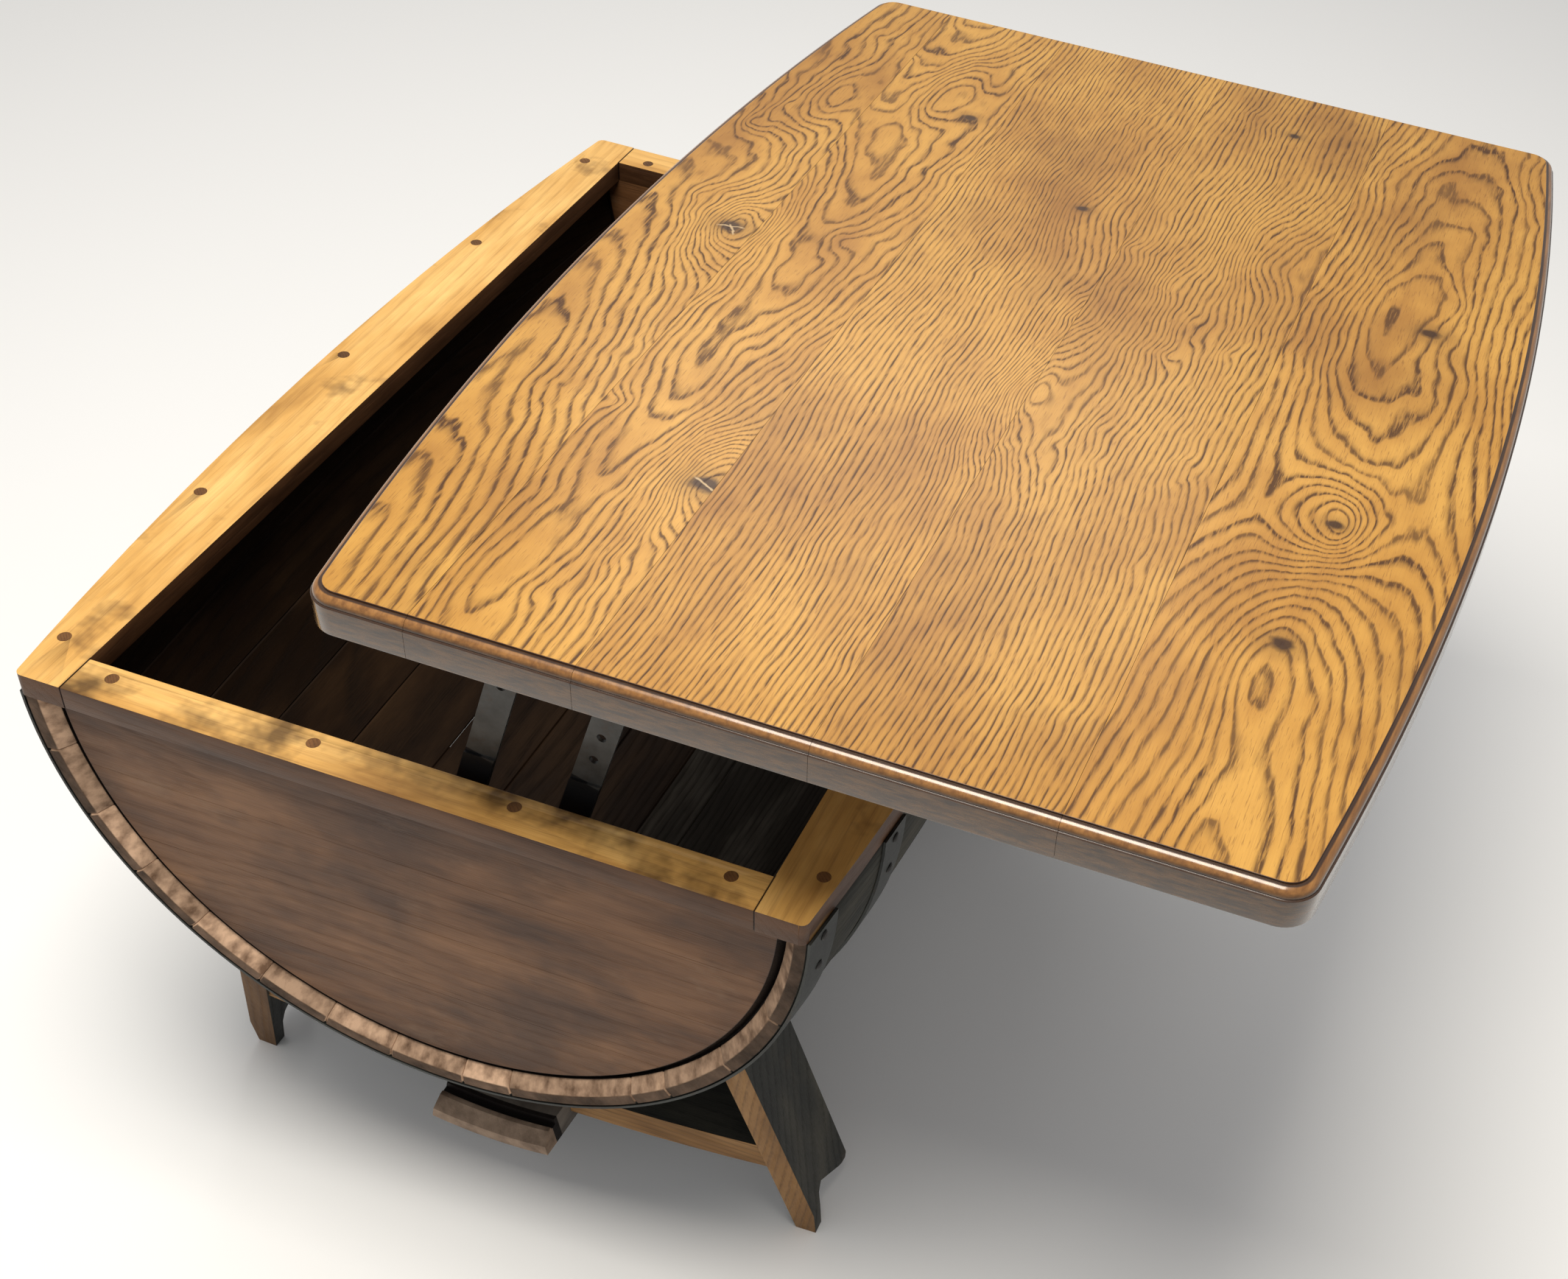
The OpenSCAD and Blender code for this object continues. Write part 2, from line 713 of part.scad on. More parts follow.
// One lift arm with the black strap riveted to its lower half
module arm(s, right) {
    strap_at = right ? RIGHT_STRAP : LEFT_STRAP;
    arm_at = right ? RIGHT_ARM : LEFT_ARM;
    holes = right ? RIGHT_HOLES : LEFT_HOLES;
    closes_loop = right || s > 0;
    color("gray")
        at_end(s)
            translate([arm_x + (right ? arm_pitch : 0), 0, pivot_z]) {
                difference() {
                    union() {
                        sheet(plate_face - arm_at, plate_face - arm_at - arm_t)
                            arm_outline(arm_len);
                        sheet(plate_face - strap_at, plate_face - arm_at)
                            strap_outline();
                    }
                    bar_y(pivot_r + pivot_clear, -plate_face - 1, -plate_face + 20);
                    rotate([0, open_lean, 0]) {
                        translate([0, 0, arm_len])
                            bar_y(pivot_r + (closes_loop ? loop_clear : pivot_clear), -plate_face - 1, -plate_face + 20);
                        for (h = holes)
                            translate([0, 0, h])
                                bar_y(3.5, -plate_face - 1, -plate_face + 20);
                    }
                }
                rotate([0, open_lean, 0])
                    for (h = STRAP_RIVETS)
                        translate([0, 0, h])
                            bar_y(3.2, -plate_face + strap_at - 0.2, -plate_face + strap_at + 0.2);
            }
}

// ---------- top ----------

function top_x(y) = top_end_w / 2 + (top_mid_w - top_end_w) / 2 * (1 - pow(2 * y / top_len, 2));

// Outline of the top, drawn in by an inset
function top_outline(inset) =
    let (r = top_corner_r - min(inset, top_corner_r - 4),
        y1 = top_len / 2 - inset - r,
        cx = top_x(y1 + r) - inset - r,
        side = [for (y = steps(-y1, y1, 24)) [top_x(y) - inset, y]],
        low = [for (a = steps(-90, -14, 7)) [cx + r * cos(a), -y1 + r * sin(a)]],
        high = [for (a = steps(14, 90, 7)) [cx + r * cos(a), y1 + r * sin(a)]],
        half = concat(low, side, high))
    concat(half, [for (i = [len(half) - 1 : -1 : 0]) [-half[i][0], half[i][1]]]);

module top_board(i) {
    edges = concat([-500], TOP_JOINTS, [500]);
    color("peru")
        difference() {
            translate([top_shift, 0, top_z])
                intersection() {
                    union() {
                        linear_extrude(top_t - field_step)
                            polygon(top_outline(0));
                        translate([0, 0, top_t - field_step - 1])
                            linear_extrude(field_step + 1)
                                polygon(top_outline(edge_w));
                    }
                    translate([edges[i] + joint_gap / 4, -600, -1])
                        cube([edges[i + 1] - edges[i] - joint_gap / 2, 1200, top_t + 2]);
                }
            bracket_screw_places()
                screw(bracket_screw_len, hole_gap);
            batten_screw_places()
                screw(batten_screw_len, hole_gap);
        }
}

bracket_screw_len = 20;
batten_screw_len = 34;

module bracket_screw_places()
    for (s = [-1, 1])
        at_end(s)
            for (dx = top_screw_dx)
                translate([top_pivot_x + dx, -plate_face + flange_w - plate_t - 8, top_z - plate_t])
                    rotate([180, 0, 0])
                        children();

module batten_screw_places()
    for (s = [-1, 1], x = BATTEN_SCREWS, dy = [-15, 15])
        translate([top_shift + x, s * batten_y + dy, top_z - batten_t - seat_gap])
            rotate([180, 0, 0])
                children();

module top_battens()
    color("peru")
        difference() {
            for (s = [-1, 1])
                translate([top_shift - batten_half, s * batten_y - batten_w / 2, top_z - batten_t - seat_gap])
                    cube([2 * batten_half, batten_w, batten_t]);
            batten_screw_places()
                screw(batten_screw_len, hole_gap);
        }

// Angle bracket: a leaf with the two upper pivots and a flange under the top
module bracket(s)
    color("darkgray")
        at_end(s)
            difference() {
                union() {
                    sheet(plate_y - 0.1, plate_face)
                        round_plate(top_pivot_x - plate_margin, top_pivot_z - bracket_below,
                            top_pivot_x + arm_pitch + plate_margin, top_z - seat_gap, 2.5);
                    translate([top_pivot_x - plate_margin, -plate_y + 0.1, top_z - plate_t - seat_gap])
                        cube([arm_pitch + 2 * plate_margin, flange_w, plate_t]);
                }
                for (x = [top_pivot_x, top_pivot_x + arm_pitch])
                    translate([x, 0, top_pivot_z])
                        bar_y(pivot_r + 0.05, -plate_y - 1, -plate_face + 1);
                bracket_screw_places()
                    screw(bracket_screw_len, hole_gap);
            }

module upper_pivots()
    color("lightgray")
        for (s = [-1, 1])
            at_end(s) {
                translate([top_pivot_x, 0, top_pivot_z])
                    pivot_pin(LEFT_ARM - 0.2, LEFT_ARM + arm_t);
                translate([top_pivot_x + arm_pitch, 0, top_pivot_z])
                    pivot_pin(RIGHT_ARM - 0.2, RIGHT_ARM + arm_t);
            }

module top_screws()
    color("silver") {
        bracket_screw_places()
            translate([0, 0, -0.1])
                screw(bracket_screw_len);
        batten_screw_places()
            translate([0, 0, -0.1])
                screw(batten_screw_len);
    }

// ---------- assembly ----------

// Everything is drawn about the barrel's middle plane, then moved over the origin
outline_mid = (top_shift + top_mid_w / 2 - end_radius - bilge_swell) / 2;
translate([-outline_mid, 0, 0]) {
    for (i = [0 : len(STAVE_DEG) - 1])
        stave(i);
    head(-1);  // head_front
    head(1);  // head_back
    hoop(0);  // head_hoop_front
    hoop(1);  // head_hoop_back
    hoop(2);  // quarter_hoop_front
    hoop(3);  // quarter_hoop_back
    hoop(4);  // bilge_hoop_front
    hoop(5);  // bilge_hoop_back
    hoop_nails();
    side_rail(-1);  // side_rail_left
    side_rail(1);  // side_rail_right
    end_rail(-1);  // end_rail_front
    end_rail(1);  // end_rail_back
    rail_plugs();
    rail_screws();
    leg(-1, -1);  // leg_front_left
    leg(1, -1);  // leg_front_right
    leg(-1, 1);  // leg_back_left
    leg(1, 1);  // leg_back_right
    stretcher(-1);  // stretcher_front
    stretcher(1);  // stretcher_back
    centre_stave();
    base_screws();
    base_dowels();
    hinge_board(-1);  // hinge_board_front
    hinge_board(1);  // hinge_board_back
    hinge_plate(-1);  // hinge_plate_front
    hinge_plate(1);  // hinge_plate_back
    lower_pivots();
    hinge_screws();
    arm(-1, false);  // arm_front_left
    arm(-1, true);  // arm_front_right
    arm(1, false);  // arm_back_left
    arm(1, true);  // arm_back_right
    for (i = [0 : len(TOP_JOINTS)])
        top_board(i);
    top_battens();
    bracket(-1);  // bracket_front
    bracket(1);  // bracket_back
    upper_pivots();
    top_screws();
}
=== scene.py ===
import bpy
import bmesh
import json
import math
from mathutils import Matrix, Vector

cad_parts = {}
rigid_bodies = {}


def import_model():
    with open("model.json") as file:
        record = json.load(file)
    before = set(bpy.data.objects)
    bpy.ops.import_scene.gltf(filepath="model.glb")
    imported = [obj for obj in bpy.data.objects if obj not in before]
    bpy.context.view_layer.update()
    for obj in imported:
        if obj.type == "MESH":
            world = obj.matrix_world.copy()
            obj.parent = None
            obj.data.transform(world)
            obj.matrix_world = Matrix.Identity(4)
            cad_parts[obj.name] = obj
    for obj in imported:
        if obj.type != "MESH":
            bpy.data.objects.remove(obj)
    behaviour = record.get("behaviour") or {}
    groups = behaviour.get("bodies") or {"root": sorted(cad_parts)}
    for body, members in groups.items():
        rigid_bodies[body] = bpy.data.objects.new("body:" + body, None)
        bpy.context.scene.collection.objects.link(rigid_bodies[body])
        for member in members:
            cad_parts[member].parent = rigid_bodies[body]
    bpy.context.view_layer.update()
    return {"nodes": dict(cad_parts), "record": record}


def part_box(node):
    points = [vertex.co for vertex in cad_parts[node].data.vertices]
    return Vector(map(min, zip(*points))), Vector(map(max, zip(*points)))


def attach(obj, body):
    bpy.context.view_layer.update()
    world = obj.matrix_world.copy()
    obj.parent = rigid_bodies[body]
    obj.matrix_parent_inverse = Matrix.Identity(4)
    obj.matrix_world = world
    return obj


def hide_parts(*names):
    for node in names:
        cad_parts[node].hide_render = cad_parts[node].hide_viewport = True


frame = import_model()
nodes = frame["nodes"]
scene = bpy.context.scene

# Metres. Materials and outlines measure x from the barrel's middle plane, which stands MID from the origin
MID = (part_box("head_front")[0][0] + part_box("head_front")[1][0]) / 2
AXIS_Z = 0.520          # height of the barrel's axis
HALF = 0.4445           # half of the barrel's length
BILGE_R = 0.331         # outer radius at the middle
BARREL_SWELL = 0.027    # how much smaller it is at the ends
ARM_LEAN = math.radians(17)  # the arms at rest, from upright


# ---------- node helpers ----------

class Net:
    """Short calls for building a material's node tree."""

    def __init__(self, name):
        self.mat = bpy.data.materials.new(name)
        self.mat.use_nodes = True
        self.tree = self.mat.node_tree
        self.tree.nodes.clear()
        self.out = self.tree.nodes.new("ShaderNodeOutputMaterial")
        self.bsdf = self.tree.nodes.new("ShaderNodeBsdfPrincipled")
        self.tree.links.new(self.bsdf.outputs[0], self.out.inputs["Surface"])
        at = self.tree.nodes.new("ShaderNodeTexCoord")
        self.coord = self.place(at.outputs["Object"], offset=(-MID, 0, 0))
        self.normal = self.split(at.outputs["Normal"])

    def put(self, socket, value):
        if hasattr(value, "is_output"):
            self.tree.links.new(value, socket)
        elif value is not None:
            socket.default_value = value

    def math(self, op, a, b=None, c=None):
        n = self.tree.nodes.new("ShaderNodeMath")
        n.operation = op
        for i, v in enumerate((a, b, c)):
            self.put(n.inputs[i], v)
        return n.outputs[0]

    def split(self, vector):
        n = self.tree.nodes.new("ShaderNodeSeparateXYZ")
        self.put(n.inputs[0], vector)
        return n.outputs

    def join(self, x, y, z):
        n = self.tree.nodes.new("ShaderNodeCombineXYZ")
        for i, v in enumerate((x, y, z)):
            self.put(n.inputs[i], v)
        return n.outputs[0]

    def place(self, vector, scale=(1, 1, 1), offset=(0, 0, 0), turn=(0, 0, 0)):
        n = self.tree.nodes.new("ShaderNodeMapping")
        self.put(n.inputs["Vector"], vector)
        n.inputs["Scale"].default_value = scale
        n.inputs["Location"].default_value = offset
        n.inputs["Rotation"].default_value = turn
        return n.outputs[0]

    def noise(self, vector, scale=1.0, detail=3.0, rough=0.55, warp=0.0):
        n = self.tree.nodes.new("ShaderNodeTexNoise")
        self.put(n.inputs["Vector"], vector)
        n.inputs["Scale"].default_value = scale
        n.inputs["Detail"].default_value = detail
        n.inputs["Roughness"].default_value = rough
        n.inputs["Distortion"].default_value = warp
        return n.outputs["Fac"]

    def streaks(self, a, b, scale_a, scale_b, seed, detail=3.0, rough=0.55):
        """Noise over two sockets, each with a scale of its own."""
        at = self.join(self.math("MULTIPLY", a, scale_a), self.math("MULTIPLY", b, scale_b), seed)
        return self.noise(at, 1.0, detail, rough)

    def sway(self, value, noise, amount):
        """value moved by noise, which swings evenly about zero."""
        return self.math("ADD", value, self.math("MULTIPLY", self.math("SUBTRACT", noise, 0.5), amount))

    def hypot(self, a, b):
        """Length of the flat vector a, b."""
        return self.math("SQRT", self.math("ADD", self.math("MULTIPLY", a, a), self.math("MULTIPLY", b, b)))

    def span(self, value, a, b, c=0.0, d=1.0):
        n = self.tree.nodes.new("ShaderNodeMapRange")
        n.clamp = True
        for i, v in enumerate((value, a, b, c, d)):
            self.put(n.inputs[i], v)
        return n.outputs[0]

    def edge(self, value, at, soft):
        """0 below at and 1 above it, blended over soft each way; a negative soft swaps the two."""
        return self.span(value, at - soft, at + soft)

    def ramp(self, value, stops):
        n = self.tree.nodes.new("ShaderNodeValToRGB")
        self.put(n.inputs[0], value)
        els = n.color_ramp.elements
        while len(els) < len(stops):
            els.new(0.5)
        for e, (p, col) in zip(els, stops):
            e.position = p
            e.color = (*col, 1)
        return n.outputs[0]

    def mix(self, fac, a, b, blend="MIX"):
        n = self.tree.nodes.new("ShaderNodeMix")
        n.data_type = "RGBA"
        n.blend_type = blend
        self.put(n.inputs[0], fac)
        for s, v in ((n.inputs[6], a), (n.inputs[7], b)):
            if isinstance(v, tuple) and len(v) == 3:
                v = (*v, 1)
            self.put(s, v)
        return n.outputs[2]

    def bump(self, height, strength=0.3, distance=0.001):
        n = self.tree.nodes.new("ShaderNodeBump")
        n.inputs["Strength"].default_value = strength
        n.inputs["Distance"].default_value = distance
        self.put(n.inputs["Height"], height)
        self.tree.links.new(n.outputs[0], self.bsdf.inputs["Normal"])

    def surface(self, color, rough, metallic=0.0, coat=0.0, coat_rough=0.1, specular=0.5):
        b = self.bsdf.inputs
        b["Specular IOR Level"].default_value = specular
        self.put(b["Base Color"], color)
        self.put(b["Roughness"], rough)
        b["Metallic"].default_value = metallic
        b["Coat Weight"].default_value = coat
        b["Coat Roughness"].default_value = coat_rough
        return self.mat


def grain_rings(n, across, along, pith, depth, taper, spacing, knots, wobble, seed):
    """Growth-ring phase on a flat-sawn face. across and along are sockets in metres.

    Each knot is its place (across, along), its half width, its half length and how far it lifts the rings.
    """
    a = n.math("SUBTRACT", across, pith)
    r = n.math("SQRT", n.math("ADD", n.math("MULTIPLY", a, a), depth * depth))
    r = n.math("ADD", r, n.math("MULTIPLY", along, taper))
    slow = n.streaks(across, along, 5.5, 2.2, seed, 2.0, 0.5)
    fast = n.streaks(across, along, 30, 7, seed + 3)
    nick = n.streaks(across, along, 120, 16, seed + 6, 2.0, 0.5)
    for noise, share in ((slow, 6), (fast, 0.8), (nick, 0.30)):
        r = n.sway(r, noise, wobble * share)
    uneven = n.span(n.streaks(across, along, 17, 11, seed + 8, 2.0, 0.5), 0.25, 0.75, 0.35, 1.8)
    for ku, kv, half_width, half_length, lift in knots:
        du = n.math("DIVIDE", n.math("SUBTRACT", across, ku), half_width)
        dv = n.math("DIVIDE", n.math("SUBTRACT", along, kv), half_length)
        d2 = n.math("ADD", n.math("MULTIPLY", du, du), n.math("MULTIPLY", dv, dv))
        d2 = n.math("MULTIPLY", d2, uneven)
        r = n.math("ADD", r, n.math("MULTIPLY", n.math("DIVIDE", 1.0, n.math("ADD", d2, 1.0)), lift))
    return n.math("DIVIDE", r, spacing)


# ---------- materials ----------

OAK = [(0.28, (0.31, 0.142, 0.026)), (0.45, (0.43, 0.216, 0.042)), (0.60, (0.52, 0.280, 0.060)),
       (0.8, (0.45, 0.232, 0.048))]
PATCH_SEED = 31.0       # the same on every board of the top, so its darker patches run across the joints

def scaled(colour, tone):
    return tuple(c * tone for c in colour)


def grey(value):
    return (value, value, value)


def lacquered_oak(name, pith, depth, taper, spacing, knots, seed, centre, tone=1.0, knot_spots=(),
                  cracks=()):
    """The top's boards: honey oak with dark broken ring lines, grain along Y.

    Each dark knot spot is a place and a radius. Each crack is a place, an angle and a half length.
    """
    n = Net(name)
    x, y, z = n.split(n.place(n.coord, offset=(-centre[0], -centre[1], -centre[2])))
    across = n.math("ADD", x, n.math("MULTIPLY", z, 0.35))
    ring = grain_rings(n, across, y, pith, depth, taper, spacing, knots, 0.010, seed)
    phase = n.math("FRACT", ring)
    index = n.math("FLOOR", ring)
    line = n.ramp(phase, [(0.0, grey(0)), (0.48, grey(0.02)), (0.66, grey(0.42)), (0.78, grey(1)),
                          (0.90, grey(0.95)), (1.0, grey(0))])
    each = n.span(n.streaks(index, y, 1.37, 4.0, seed + 9, 1.0, 0.5), 0.28, 0.62, 0.60, 1.0)
    dash = n.span(n.streaks(x, y, 520, 46, seed, 3.0, 0.62), 0.39, 0.53, 0.26, 1.0)
    dark = n.math("MULTIPLY", n.math("MULTIPLY", line, dash), each)
    soft = n.ramp(phase, [(0.0, grey(0.45)), (0.28, grey(0)), (0.6, grey(0.1)), (0.85, grey(0.9)),
                          (1.0, grey(0.45))])
    fibre = n.streaks(x, y, 1500, 26, seed + 5, 2.0, 0.6)
    pores = n.streaks(x, y, 1300, 75, seed + 6, 2.0, 0.55)
    cloud = n.streaks(x, y, 10, 5.5, seed + 7, 4.0, 0.62)
    patch = n.streaks(x, y, 6.5, 4.2, PATCH_SEED, 3.0, 0.6)
    base = n.ramp(cloud, [(place, scaled(colour, tone)) for place, colour in OAK])
    base = n.mix(n.span(patch, 0.55, 0.74, 0.0, 0.52), base, scaled((0.17, 0.070, 0.014), tone))
    base = n.mix(n.math("MULTIPLY", soft, 0.40), base, scaled((0.25, 0.103, 0.016), tone))
    base = n.mix(n.span(fibre, 0.45, 0.75, 0.0, 0.25), base, scaled((0.24, 0.10, 0.024), tone))
    base = n.mix(n.span(pores, 0.60, 0.68, 0.0, 0.5), base, (0.15, 0.058, 0.014))
    col = n.mix(n.math("MULTIPLY", dark, 0.97), base, (0.052, 0.018, 0.004))
    spots = None
    for ku, kv, radius in knot_spots:
        du = n.math("DIVIDE", n.math("SUBTRACT", x, ku), radius)
        dv = n.math("DIVIDE", n.math("SUBTRACT", y, kv), radius * 0.8)
        d = n.sway(n.hypot(du, dv), n.noise(n.coord, 90, 3.0), 0.9)
        s = n.math("ADD", n.span(d, 1.1, 0.55), n.span(d, 2.6, 0.9, 0.0, 0.45))
        spots = s if spots is None else n.math("MAXIMUM", spots, s)
    if spots is not None:
        col = n.mix(n.span(spots, 0.0, 1.45, 0.0, 0.94), col, (0.030, 0.011, 0.004))
    for ku, kv, turn, half_length in cracks:
        cu, cv = math.cos(turn), math.sin(turn)
        dx = n.math("SUBTRACT", x, ku)
        dy = n.math("SUBTRACT", y, kv)
        a = n.math("ADD", n.math("MULTIPLY", dx, cu), n.math("MULTIPLY", dy, cv))
        b = n.math("SUBTRACT", n.math("MULTIPLY", dy, cu), n.math("MULTIPLY", dx, cv))
        b = n.sway(b, n.noise(n.coord, 160, 2.0), 0.004)
        hit = n.math("MULTIPLY", n.span(n.math("ABSOLUTE", b), 0.0011, 0.0005),
                     n.span(n.math("ABSOLUTE", a), half_length, half_length * 0.7))
        col = n.mix(n.math("MULTIPLY", hit, 0.8), col, (0.50, 0.36, 0.20))
    rough = n.span(n.math("ADD", dark, n.math("MULTIPLY", fibre, 0.3)), 0.0, 1.3, 0.34, 0.50)
    n.bump(n.math("SUBTRACT", 1.0, n.math("ADD", dark, n.math("MULTIPLY", fibre, 0.25))), 0.22, 0.0005)
    return n.surface(col, rough, coat=0.12, coat_rough=0.16, specular=0.30)


def edge_oak():
    """The top's moulding and sides: glossier and browner than its face, with dark lines of painted shade in
    the two small steps.
    """
    n = Net("oak_edge")
    below = n.math("SUBTRACT", n.split(n.coord)[2], top_face)
    streak = n.noise(n.place(n.coord, scale=(60, 60, 420), turn=(0.5, 0.7, 0.0)), 1.0, 4.0, 0.62)
    cross = n.noise(n.place(n.coord, scale=(260, 24, 260)), 1.0, 3.0, 0.6)
    side = n.mix(n.span(streak, 0.35, 0.65), (0.026, 0.010, 0.002), (0.125, 0.056, 0.013))
    side = n.mix(n.span(cross, 0.55, 0.75, 0.0, 0.5), side, (0.030, 0.011, 0.003))
    curve = n.mix(n.span(cross, 0.35, 0.65), (0.30, 0.135, 0.034), (0.17, 0.070, 0.016))
    col = n.mix(n.span(n.normal[2], 0.62, 0.20), curve, side)
    # painted shade: dark where the height under the face is that of the step or of the fillet
    step = n.math("MULTIPLY", n.span(below, -0.00005, -0.0002), n.span(below, -0.00175, -0.0015))
    fillet = n.math("MULTIPLY", n.span(below, -0.0067, -0.0071), n.span(below, -0.0086, -0.0081))
    col = n.mix(n.math("MULTIPLY", n.math("MAXIMUM", step, fillet), 0.93), col, (0.022, 0.008, 0.003))
    n.bump(streak, 0.12, 0.0005)
    return n.surface(col, n.span(streak, 0.3, 0.7, 0.20, 0.32), coat=0.6, coat_rough=0.10, specular=0.5)


def wood(n, axis, stops, line_color, spacing, seed, stain=0.0, stain_color=None, line_amount=0.5,
         wander=1.0):
    """Colour and grain height of sawn or planed wood with its grain along one axis."""
    s = n.split(n.coord)
    along = s["XYZ".index(axis)]
    others = [s[i] for i in range(3) if "XYZ"[i] != axis]
    across = n.math("ADD", *others)
    pith = 0.04 * math.sin(seed * 7.0)
    ring = grain_rings(n, across, along, pith, 0.02, 0.035, spacing, (), 0.008 * wander, seed)
    phase = n.math("FRACT", ring)
    line = n.ramp(phase, [(0.0, grey(0)), (0.5, grey(0.10)), (0.84, grey(1)), (1.0, grey(0))])
    fine = tuple(22 if "XYZ"[i] == axis else 900 for i in range(3))
    fibre = n.noise(n.place(n.coord, scale=fine, offset=(seed, seed, seed)), 1.0, 3.0, 0.6)
    coarse = tuple(4.5 if "XYZ"[i] == axis else 19 for i in range(3))
    cloud = n.noise(n.place(n.coord, scale=coarse, offset=(seed, 2 * seed, 0)), 1.0, 4.0, 0.62)
    base = n.ramp(cloud, stops)
    dark = n.math("MULTIPLY", line, n.span(fibre, 0.3, 0.6, 0.2, 1.0))
    col = n.mix(n.math("MULTIPLY", dark, line_amount), base, line_color)
    col = n.mix(n.span(fibre, 0.5, 0.8, 0.0, 0.30), col, line_color)
    if stain > 0:
        marks = n.noise(n.place(n.coord, scale=(13, 13, 13), offset=(seed * 3, 0, seed)), 1.0, 4.0, 0.62)
        col = n.mix(n.span(marks, 0.64 - 0.12 * stain, 0.76 - 0.08 * stain, 0.0, 0.82), col, stain_color)
    return col, n.math("ADD", n.math("MULTIPLY", dark, 0.6), fibre)


def plain_wood(name, axis, stops, line_color, spacing, seed, rough=(0.45, 0.65), coat=0.0, zones=None,
               specular=0.25, **more):
    """Wood with its grain along one axis; zones(n, colour) may recolour parts of it."""
    n = Net(name)
    col, height = wood(n, axis, stops, line_color, spacing, seed, **more)
    if zones is not None:
        col = zones(n, col)
    r = n.span(height, 0.3, 1.4, rough[0], rough[1])
    n.bump(n.math("SUBTRACT", 1.0, height), 0.3, 0.0008)
    return n.surface(col, r, coat=coat, coat_rough=0.25, specular=specular)


def steel(name, light, dark, rough, metallic, rust=0.0, seed=0.0, scale=60, zones=None):
    """Painted or bare steel with handling marks."""
    n = Net(name)
    cloud = n.noise(n.place(n.coord, offset=(seed, seed, seed)), scale, 5.0, 0.62)
    fine = n.noise(n.coord, scale * 12, 3.0, 0.6)
    col = n.ramp(cloud, [(0.3, dark), (0.7, light)])
    if rust > 0:
        spots = n.noise(n.place(n.coord, offset=(seed + 4, 0, 0)), scale * 2.2, 4.0, 0.7)
        col = n.mix(n.span(spots, 0.58, 0.72, 0.0, rust), col, (0.075, 0.032, 0.014))
    if zones is not None:
        col = zones(n, col)
    marks = n.math("ADD", n.math("MULTIPLY", cloud, 0.7), n.math("MULTIPLY", fine, 0.3))
    r = n.span(marks, 0.3, 0.7, rough[0], rough[1])
    n.bump(n.math("ADD", cloud, n.math("MULTIPLY", fine, 0.4)), 0.15, 0.0005)
    return n.surface(col, r, metallic=metallic)


def paint(name, *materials):
    """Gives a CAD node its materials."""
    me = nodes[name].data
    me.materials.clear()
    for m in materials:
        me.materials.append(m)


# ---------- pieces ----------

MIN_EDGE = 0.0035


def piece(name, bm, materials, body, slot, *replaced):
    """A finished mesh that stands for CAD nodes. Its faces' material_index picks from materials."""
    bmesh.ops.recalc_face_normals(bm, faces=bm.faces)
    me = bpy.data.meshes.new(name)
    bm.to_mesh(me)
    bm.free()
    for p in me.polygons:
        p.use_smooth = True
    me.set_sharp_from_angle(angle=math.radians(28))
    for m in materials:
        me.materials.append(m)
    ob = bpy.data.objects.new(name, me)
    scene.collection.objects.link(ob)
    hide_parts(*replaced)
    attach(ob, body)
    return ob


def eased(node, width, material, body, slot, cuts=2):
    """The node's own shape with its sharp edges rounded off; edges shorter than MIN_EDGE stay sharp."""
    bm = bmesh.new()
    bm.from_mesh(nodes[node].data)
    bmesh.ops.remove_doubles(bm, verts=bm.verts, dist=0.00002)
    bmesh.ops.dissolve_limit(bm, angle_limit=math.radians(1.0), verts=bm.verts, edges=bm.edges)
    sharp = [e for e in bm.edges if len(e.link_faces) == 2 and e.calc_face_angle(0.0) > math.radians(32)
             and e.calc_length() > MIN_EDGE]
    bmesh.ops.bevel(bm, geom=sharp, offset=width, segments=cuts, profile=0.6, affect="EDGES",
                    clamp_overlap=True)
    return piece(node + "_eased", bm, [material], body, slot, node)


top_lo, top_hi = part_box("top_board_3")
top_x0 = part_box("top_board_1")[0][0]
top_x1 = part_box("top_board_5")[1][0]
centre_x = (top_x0 + top_x1) / 2
top_face = top_hi[2]
top_centre = (centre_x - MID, 0.0, top_face)
TOP_HALF = (top_hi[1] - top_lo[1]) / 2
TOP_MID = (top_x1 - top_x0) / 2
TOP_BOW = 0.0375        # how far each long side bows out from its ends
TOP_END = TOP_MID - TOP_BOW
CORNER = 0.022          # radius of the top's corners
SIDE_STEPS = 32
CORNER_STEPS = 10
BOARD_GAP = 0.00012     # half of the line between two boards


def outline(inset):
    """The top's edge line, moved inwards by inset, from its middle."""
    lean = math.atan(2 * TOP_BOW * (TOP_HALF - CORNER) / TOP_HALF ** 2)
    y1 = TOP_HALF - CORNER + CORNER * math.sin(lean)
    side = []
    for i in range(SIDE_STEPS + 1):
        y = -y1 + 2 * y1 * i / SIDE_STEPS
        x = TOP_END + TOP_BOW * (1 - (y / TOP_HALF) ** 2)
        slope = -2 * TOP_BOW * y / TOP_HALF ** 2
        k = math.hypot(1, slope)
        side.append((x - inset / k, y + inset * slope / k))
    xc = TOP_END + TOP_BOW * (1 - (y1 / TOP_HALF) ** 2) - CORNER * math.cos(lean)
    yc = TOP_HALF - CORNER
    turn = [lean + (math.pi / 2 - lean) * i / CORNER_STEPS for i in range(1, CORNER_STEPS + 1)]
    r = CORNER - inset
    corner = [(xc + r * math.cos(a), yc + r * math.sin(a)) for a in turn]
    right = [(x, -y) for x, y in reversed(corner)] + side + corner
    return right + [(-x, -y) for x, y in right]


# The quarter round along the top's edge: its radius, and its centre's inset and height from the face
ROUND_R = 0.0061
ROUND_INSET = 0.0073
ROUND_Z = -0.0074


